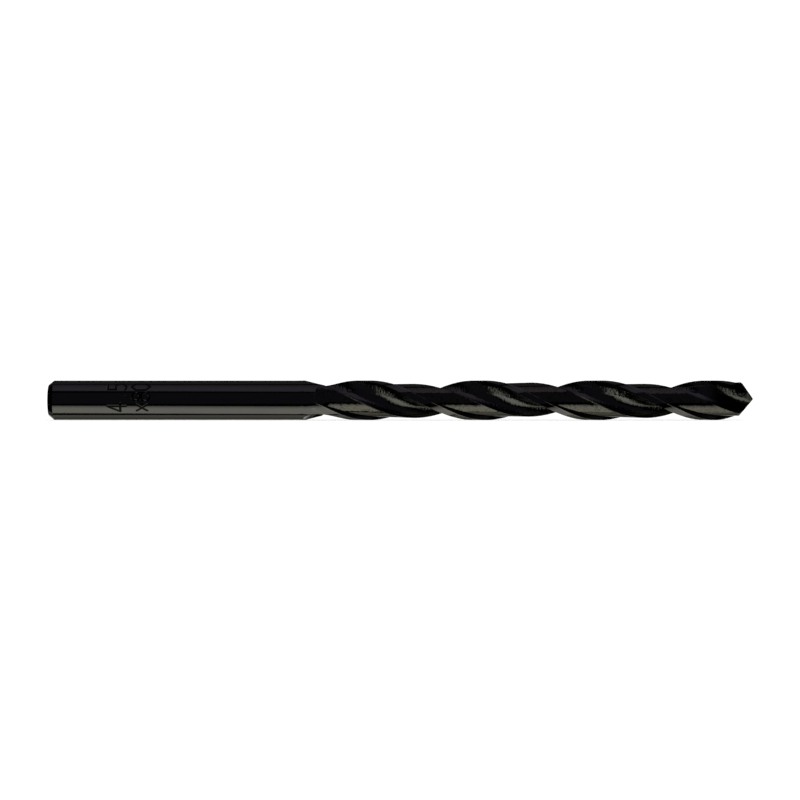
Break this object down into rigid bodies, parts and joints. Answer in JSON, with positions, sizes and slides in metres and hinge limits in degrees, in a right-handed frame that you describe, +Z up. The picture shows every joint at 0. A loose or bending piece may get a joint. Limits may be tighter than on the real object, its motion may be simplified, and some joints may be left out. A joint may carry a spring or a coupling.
{
  "type": "twist drill bit",
  "caption": "Straight-shank jobber twist drill with right-hand helical flutes, narrow margins, ground body clearance and a conical point.",
  "frame": {"origin": "centre of the flat shank end, on the drill's axis", "axes": "+X along the drill's axis from the shank end to the point; +Z up with the drill lying level; the roll about X is the one it lies at, with the cutting lips at the point near 43 and 223 degrees from +Y towards +Z"},
  "size_m": [0.08, 0.0044, 0.0044],
  "materials": {
    "black_oxide_steel": "glossy steam-oxide black on ground steel, rougher in the flutes"
  },
  "bodies": {
    "root": {"twist_drill": "black_oxide_steel"}
  },
  "joints": []
}
